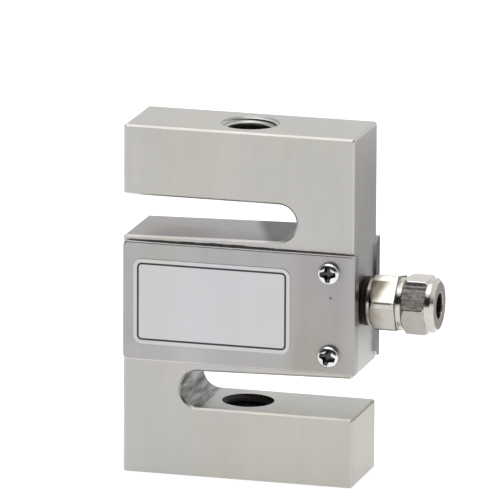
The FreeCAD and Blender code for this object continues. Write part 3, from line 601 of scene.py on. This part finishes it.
def new_piece(name, bm, material, smooth_angle=35):
    """A dressed object from a bmesh, smooth except at edges sharper than an angle in degrees."""
    bmesh.ops.recalc_face_normals(bm, faces=bm.faces)
    for face in bm.faces:
        face.smooth = True
    for edge in bm.edges:
        edge.smooth = len(edge.link_faces) == 2 and edge.calc_face_angle(0) < math.radians(smooth_angle)
    piece = add_object(name, bm)
    piece.data.materials.append(material)
    weighted = piece.modifiers.new("face_weighted_normals", "WEIGHTED_NORMAL")
    weighted.keep_sharp = True
    return piece


def skin(bm, rings, capped=True):
    """Faces between rings of equal length and, where capped, over the first and the last ring."""
    count = len(rings[0])
    for first, second in zip(rings, rings[1:]):
        for i in range(count):
            j = (i + 1) % count
            bm.faces.new((first[i], first[j], second[j], second[i]))
    if capped:
        bm.faces.new(rings[0])
        bm.faces.new(rings[-1])


def lathe(profile, segments, matrix):
    """A surface of revolution about Z, from (radius, height) points that start and end on the axis."""
    bm = bmesh.new()
    turns = [2 * math.pi * i / segments for i in range(segments)]
    rings = []
    for radius, height in profile:
        points = [Vector((radius * math.cos(t), radius * math.sin(t), height)) for t in turns]
        if radius == 0:
            points = points[:1]
        rings.append([bm.verts.new(matrix @ point) for point in points])
    for lower, upper in zip(rings, rings[1:]):
        for i in range(segments):
            j = (i + 1) % segments
            corners = [ring[k % len(ring)] for ring, k in ((lower, i), (lower, j), (upper, j), (upper, i))]
            bm.faces.new(list(dict.fromkeys(corners)))
    return bm


def subtract(target, cutter):
    """Cut one closed bmesh from another, in millimetres, and return the result as a new bmesh."""
    objects = []
    for name, bm in (("target", target), ("cutter", cutter)):
        bmesh.ops.recalc_face_normals(bm, faces=bm.faces)
        bmesh.ops.scale(bm, vec=(1 / MM,) * 3, verts=bm.verts)
        objects.append(add_object(name, bm))
    cut = objects[0].modifiers.new("cut", "BOOLEAN")
    cut.operation = "DIFFERENCE"
    cut.solver = "EXACT"
    cut.object = objects[1]
    evaluated = objects[0].evaluated_get(bpy.context.evaluated_depsgraph_get())
    result = bmesh.new()
    result.from_mesh(evaluated.to_mesh())
    evaluated.to_mesh_clear()
    bmesh.ops.scale(result, vec=(MM,) * 3, verts=result.verts)
    for item in objects:
        mesh = item.data
        bpy.data.objects.remove(item)
        bpy.data.meshes.remove(mesh)
    return result


# ---------------------------------------------------------------- mounting threads

THREAD_PITCH = 1.75 * MM
THREAD_MAJOR_RADIUS = 6.0 * MM
THREAD_FLANK = 30  # degrees between a flank and the plane square to the axis
THREAD_OVERLAP = 0.15 * MM  # how far the cutter reaches inside the bore's wall
SPARE_TURNS = 2.2  # turns by which the cutter is longer than the bore
STEPS_PER_TURN = 56
THREAD_STARTS = {"top_thread": 0.4, "bottom_thread": 1.9}  # angle at which each begins, radians
WELD = 0.0005 * MM
THREAD_SHADE_ABOVE, THREAD_SHADE_BEYOND = 1.5 * MM, 0.4 * MM  # how far the painted shade goes past the bottom thread
LEVEL_NORMAL = 0.99  # Z of the normal above which a face counts as level


def thread_cutter(mount, start_angle):
    """A helical ridge with the 60 degree form of the thread, from inside the bore's wall to its root."""
    inner = mount["dims"]["r_mm"] * MM - THREAD_OVERLAP
    crest = THREAD_PITCH / 8 / 2  # half of the flat at the thread's root, an eighth of the pitch wide
    root = crest + (THREAD_MAJOR_RADIUS - inner) * math.tan(math.radians(THREAD_FLANK))
    form = ((inner, -root), (THREAD_MAJOR_RADIUS, -crest), (THREAD_MAJOR_RADIUS, crest), (inner, root))
    middle = Vector(mount["pos_m"])
    turns = mount["dims"]["length_mm"] * MM / THREAD_PITCH + SPARE_TURNS
    start = middle.z - THREAD_PITCH * turns / 2
    bm = bmesh.new()
    sections = []
    for step in range(round(turns * STEPS_PER_TURN) + 1):
        angle = 2 * math.pi * step / STEPS_PER_TURN + start_angle
        height = start + THREAD_PITCH * step / STEPS_PER_TURN
        sections.append([
            bm.verts.new((middle.x + r * math.cos(angle), middle.y + r * math.sin(angle), height + z))
            for r, z in form
        ])
    skin(bm, sections)
    return bm


def make_threaded_block():
    """The block as the CAD has it, with both mounting threads cut, the bottom one dark with painted shade.
    """
    block = bmesh.new()
    block.from_mesh(NODES["s_body"].data)
    bmesh.ops.remove_doubles(block, verts=block.verts, dist=WELD)
    for name, start_angle in THREAD_STARTS.items():
        block = subtract(block, thread_cutter(MOUNTS[name], start_angle))
    bore = MOUNTS["bottom_thread"]
    middle = Vector(bore["pos_m"])
    thread_shade_top = middle.z + bore["dims"]["length_mm"] * MM / 2 + THREAD_SHADE_ABOVE
    thread_shade_reach = THREAD_MAJOR_RADIUS + THREAD_SHADE_BEYOND
    # the bottom thread's wall gets the painted shade finish
    for face in block.faces:
        spot = face.calc_center_median()
        near = math.hypot(spot.x - middle.x, spot.y - middle.y) < thread_shade_reach and spot.z < thread_shade_top
        face.material_index = int(near and abs(face.normal.z) <= LEVEL_NORMAL)
    piece = new_piece("threaded_block", block, MATERIALS["block_steel"])
    piece.data.materials.append(SHADED_BOTTOM_THREAD)
    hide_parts("s_body")
    return piece


# ---------------------------------------------------------------- cover screws

# the head's outline from its rim to its axis, as (radius, height) above its seat, in millimetres
SCREW_HEAD = (
    (2.4, 0), (2.4, 0.75), (2.34, 1.0), (2.18, 1.25), (1.9, 1.46), (1.5, 1.6), (0.9, 1.68), (0, 1.7),
)
SCREW_SEGMENTS = 64
SHANK_RADIUS, SHANK_TIP, SHANK_TAPER = 1.2 * MM, 0.8, 0.3 * MM  # the tip is a share of the radius
WING_TURNS = {"upper": 2, "lower": -15}  # degrees

# the recess in millimetres: height above the seat, a wing's reach and half width, and its inner corner
CROSS_LAYERS = (
    (2.4, 2.15, 0.66, 0.55), (1.7, 1.92, 0.60, 0.50), (1.0, 1.35, 0.46, 0.42), (0.5, 0.6, 0.3, 0.3),
)
WING_END, WING_CORNER = 0.8, 0.3  # shares of the half width and of the inner corner
RECESS_FLOOR, RECESS_DROP, RECESS_REACH = 0.3, 0.04, 2.2  # millimetres


def cross_cutter(matrix):
    """A tapered cross recess: four wings with cut inner corners, narrower at the bottom."""
    bm = bmesh.new()
    rings = []
    for height, reach, half, corner in CROSS_LAYERS:
        end, inner = half * WING_END, half + corner * WING_CORNER
        wing = ((reach, -end), (reach, end), (half + corner, half), (inner, inner))
        ring = []
        for quarter in range(4):
            turn = Matrix.Rotation(quarter * math.pi / 2, 3, "Z")
            ring += [bm.verts.new(matrix @ (turn @ Vector((x, y, height)) * MM)) for x, y in wing]
        rings.append(ring)
    skin(bm, rings)
    return bm


def dome_height(reach):
    """Height of the screw head's surface at a distance from its axis, both in millimetres."""
    for (outer, low), (inner, high) in zip(SCREW_HEAD[1:], SCREW_HEAD[2:]):
        if inner <= reach <= outer:
            return low + (high - low) * (outer - reach) / (outer - inner)
    return 0.0


def make_screw(node, front):
    """A pan head screw with a cross recess, round its CAD solid's own axis."""
    low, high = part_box(node)
    centre = (low + high) / 2
    head_height = SCREW_HEAD[-1][1] * MM
    seat_y = low.y + head_height if front else high.y - head_height
    shank_length = (high.y - low.y) - head_height
    tilt = Matrix.Rotation(math.radians(90 if front else -90), 4, "X")
    turn = Matrix.Rotation(math.radians(WING_TURNS[node.rsplit("_", 1)[1]]), 4, "Z")
    matrix = Matrix.Translation((centre.x, seat_y, centre.z)) @ tilt @ turn
    profile = [
        (0, -shank_length), (SHANK_RADIUS * SHANK_TIP, -shank_length),
        (SHANK_RADIUS, -shank_length + SHANK_TAPER), (SHANK_RADIUS, 0),
    ]
    profile += [(radius * MM, height * MM) for radius, height in SCREW_HEAD]
    cut = subtract(lathe(profile, SCREW_SEGMENTS, matrix), cross_cutter(matrix))
    inward = matrix.inverted()
    # faces inside the cross recess get the painted shade finish
    for face in cut.faces:
        spot = inward @ face.calc_center_median() / MM
        reach = math.hypot(spot.x, spot.y)
        below_dome = RECESS_FLOOR < spot.z < dome_height(reach) - RECESS_DROP
        face.material_index = int(below_dome and reach < RECESS_REACH)
    piece = new_piece(node + "_detailed", cut, MATERIALS["screw_steel"])
    piece.data.materials.append(SHADED_RECESS_STEEL)
    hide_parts(node)
    return piece


# ---------------------------------------------------------------- nameplate border

BORDER_MARGIN, BORDER_WIDTH, BORDER_DEPTH = 0.8 * MM, 0.42 * MM, 0.012 * MM
PLATE_CORNER = 1.9 * MM
CORNER_STEPS = 8


def rounded_rectangle(width, height, radius):
    """Points round a rectangle with round corners, about the origin."""
    points = []
    for corner, (sx, sy) in enumerate(((1, 1), (-1, 1), (-1, -1), (1, -1))):
        centre = Vector((sx * (width / 2 - radius), sy * (height / 2 - radius)))
        for step in range(CORNER_STEPS + 1):
            angle = math.pi / 2 * (corner + step / CORNER_STEPS)
            points.append(centre + radius * Vector((math.cos(angle), math.sin(angle))))
    return points


def make_border():
    """The dark line printed round the nameplate's edge."""
    low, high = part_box("nameplate")
    centre = (low + high) / 2
    width, height = high.x - low.x, high.z - low.z
    bm = bmesh.new()
    rings = []
    for inset in (BORDER_MARGIN, BORDER_MARGIN + BORDER_WIDTH):
        outline = rounded_rectangle(width - 2 * inset, height - 2 * inset, PLATE_CORNER - inset)
        for y in (low.y - BORDER_DEPTH, low.y + BORDER_DEPTH):
            rings.append([bm.verts.new((centre.x + p.x, y, centre.z + p.y)) for p in outline])
    outer_front, outer_back, inner_front, inner_back = rings
    skin(bm, (outer_front, outer_back, inner_back, inner_front, outer_front), capped=False)
    return new_piece("nameplate_border", bm, BORDER_INK)


# ---------------------------------------------------------------- painted shade along the covers' upper edges

SEAM_LEFT, SEAM_RIGHT = 1.3 * MM, 0.6 * MM  # how far the bead stops short of each end
SEAM_STEPS = 60
SEAM_HEIGHT, SEAM_DEPTH = 0.2 * MM, 0.4 * MM
SEAM_PEAK, SEAM_PEAK_SPREAD = 0.42, 0.2  # shares of the bead's length; there it is twice as tall
SEAM_WAVES = ((0.12, 0.9), (0.08, 2.3))  # each wave's share of the height, and its radians a step
SEAM_END, SEAM_END_SLOPE = 0.3, 8  # the ends' share of the full size, and how fast it grows
SEAM_SECTION = ((0.85, 0.6), (0.4, 1.0), (0.0, 1.1))  # shares of the bead's depth and height
SEAM_LAP = 0.05 * MM
SEAM_SMOOTH_ANGLE = 50


def make_seam(node, front):
    """A thin dark bead above a cover, painted shade that stands for the shadow in the seam, tallest near
    its middle.
    """
    low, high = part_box(node)
    block_low, block_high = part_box("s_body")
    face, out = (block_low.y, -1) if front else (block_high.y, 1)
    left, right = low.x + SEAM_LEFT, block_high.x - SEAM_RIGHT
    bm = bmesh.new()
    sections = []
    for step in range(SEAM_STEPS + 1):
        share = step / SEAM_STEPS
        x = left + (right - left) * share
        swell = 1 + sum(size * math.sin(step * rate) for size, rate in SEAM_WAVES)
        taper = min(1.0, SEAM_END_SLOPE * share + SEAM_END, SEAM_END_SLOPE * (1 - share) + SEAM_END)
        peak = 1 + math.exp(-((share - SEAM_PEAK) / SEAM_PEAK_SPREAD) ** 2)
        tall, deep = SEAM_HEIGHT * peak * swell * taper, SEAM_DEPTH * taper
        corners = [(0.0, -SEAM_LAP), (deep, -SEAM_LAP)]
        corners += [(deep * across, tall * up) for across, up in SEAM_SECTION]
        sections.append([bm.verts.new((x, face + out * y, high.z + z)) for y, z in corners])
    skin(bm, sections)
    return new_piece(node + "_seam", bm, SEAM_SHADE, SEAM_SMOOTH_ANGLE)


# ---------------------------------------------------------------- the object

dress_cad_nodes()
made = [make_threaded_block(), make_border()]
made += [make_seam("front_cover", True), make_seam("rear_cover", False)]
for side, front in (("front", True), ("rear", False)):
    for level in ("upper", "lower"):
        made.append(make_screw(f"{side}_cover_screw_{level}", front))
for piece in made:
    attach(piece, "root")


# ---------------------------------------------------------------- floor, light and camera
# Places and sizes are in metres, and turns are in degrees.

FLOOR_HALF_SIZE = 4.0
FLOOR_DROP = 0.02 * MM  # how far the floor lies below the part
FLOOR_COLOUR, FLOOR_GLOW = (0.4, 0.4, 0.4), 0.82
MATT = 0.9  # roughness of the floor and the flag

SOFTBOX_AT, SOFTBOX_AIM = (-0.15, -0.1, 0.9), (0, 0, 0.03)
SOFTBOX_SIZE, SOFTBOX_POWER = 0.9, 2.2

FLAG_AT, FLAG_TURN = (0.058, 0.117, 0.0255), -16
FLAG_WIDTH, FLAG_HEIGHT = 0.09, 0.051
FLAG_COLOUR, FLAG_GLOW = (0.04, 0.04, 0.04), 0.36

# brightness of the surround in front of the object, by the sine of its elevation
FRONT_BAND = (
    (0.0, 1.0), (0.08, 1.0), (0.13, 0.03), (0.60, 0.03), (0.70, 0.18), (0.82, 0.26), (0.88, 1.5),
)
FRONT_FADE = (0.05, -0.25)  # Y of a direction, from where the band starts to show to where it is full

AZIMUTH, ELEVATION, ROLL = 15.81, 14.08, 0.28  # where the camera stands round the object, degrees
DISTANCE = 2.0
LENS, SENSOR = 674.8, 36.0  # in millimetres
CLIP = (0.1, 20.0)
LOOK_ABOVE = 9.96 * MM  # the camera aims this far above the block's middle, across its view


def make_floor():
    """A plain white floor."""
    bm = bmesh.new()
    bmesh.ops.create_grid(bm, x_segments=2, y_segments=2, size=FLOOR_HALF_SIZE)
    floor = add_object("floor", bm)
    s = Shader("white_floor")
    s.glow(FLOOR_GLOW)
    floor.data.materials.append(s.finish(FLOOR_COLOUR, MATT))
    floor.location.z = cad_box[0].z - FLOOR_DROP


def add_softbox():
    """A square area light above the object."""
    light = bpy.data.lights.new("overhead_softbox", "AREA")
    light.shape = "RECTANGLE"
    light.size, light.size_y = SOFTBOX_SIZE, SOFTBOX_SIZE
    light.energy = SOFTBOX_POWER
    lamp = bpy.data.objects.new("overhead_softbox", light)
    lamp.location = SOFTBOX_AT
    lamp.rotation_euler = (Vector(SOFTBOX_AIM) - Vector(SOFTBOX_AT)).to_track_quat("-Z", "Y").to_euler()
    SCENE.collection.objects.link(lamp)


def add_flag():
    """A grey card beside the set that only reflections see."""
    bm = bmesh.new()
    bmesh.ops.create_grid(bm, x_segments=1, y_segments=1, size=0.5)
    stand = Matrix.Rotation(math.radians(FLAG_TURN), 4, "Z") @ Matrix.Rotation(math.radians(90), 4, "X")
    matrix = Matrix.Translation(FLAG_AT) @ stand @ Matrix.Diagonal((FLAG_WIDTH, FLAG_HEIGHT, 1, 1))
    bmesh.ops.transform(bm, matrix=matrix, verts=bm.verts)
    flag = add_object("side_flag", bm)
    s = Shader("side_flag")
    s.glow(FLAG_GLOW)
    flag.data.materials.append(s.finish(FLAG_COLOUR, MATT))
    flag.visible_camera = flag.visible_diffuse = flag.visible_shadow = False


def light_world():
    """A pale surround whose front half has a dark band above the horizon, as in a studio."""
    world = bpy.data.worlds.new("studio")
    world.use_nodes = True
    nodes, links = world.node_tree.nodes, world.node_tree.links
    direction = nodes.new("ShaderNodeSeparateXYZ")
    links.new(nodes.new("ShaderNodeTexCoord").outputs["Generated"], direction.inputs[0])
    band = nodes.new("ShaderNodeValToRGB")
    fill_ramp(band, FRONT_BAND)
    links.new(direction.outputs["Z"], band.inputs["Fac"])
    front = nodes.new("ShaderNodeMapRange")
    front.interpolation_type = "SMOOTHSTEP"
    front.inputs["From Min"].default_value, front.inputs["From Max"].default_value = FRONT_FADE
    links.new(direction.outputs["Y"], front.inputs["Value"])
    tone = nodes.new("ShaderNodeMix")
    tone.data_type = "RGBA"
    factor, behind, before = (tone.inputs[index] for index in MIX_INPUTS)
    links.new(front.outputs["Result"], factor)
    behind.default_value = (*WHITE, 1.0)
    links.new(band.outputs["Color"], before)
    links.new(tone.outputs[MIX_COLOUR], nodes["Background"].inputs["Color"])
    nodes["Background"].inputs["Strength"].default_value = 1.0
    SCENE.world = world


def make_camera():
    """The camera, which looks down at the block's front and right side."""
    low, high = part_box("s_body")
    middle = (low + high) / 2
    a, e = math.radians(AZIMUTH), math.radians(ELEVATION)
    back = Vector((math.sin(a) * math.cos(e), -math.cos(a) * math.cos(e), math.sin(e)))
    up = Vector((-math.sin(a) * math.sin(e), math.cos(a) * math.sin(e), math.cos(e)))
    camera = bpy.data.objects.new("camera", bpy.data.cameras.new("camera"))
    camera.data.lens = LENS
    camera.data.sensor_width = SENSOR
    camera.data.clip_start, camera.data.clip_end = CLIP
    camera.location = middle + back * DISTANCE
    sight = middle + up * LOOK_ABOVE - camera.location
    turn = sight.to_track_quat("-Z", "Y").to_matrix() @ Matrix.Rotation(math.radians(ROLL), 3, "Z")
    camera.rotation_euler = turn.to_euler()
    SCENE.collection.objects.link(camera)
    SCENE.camera = camera


make_floor()
light_world()
add_softbox()
add_flag()
make_camera()
SCENE.view_settings.view_transform = "Standard"
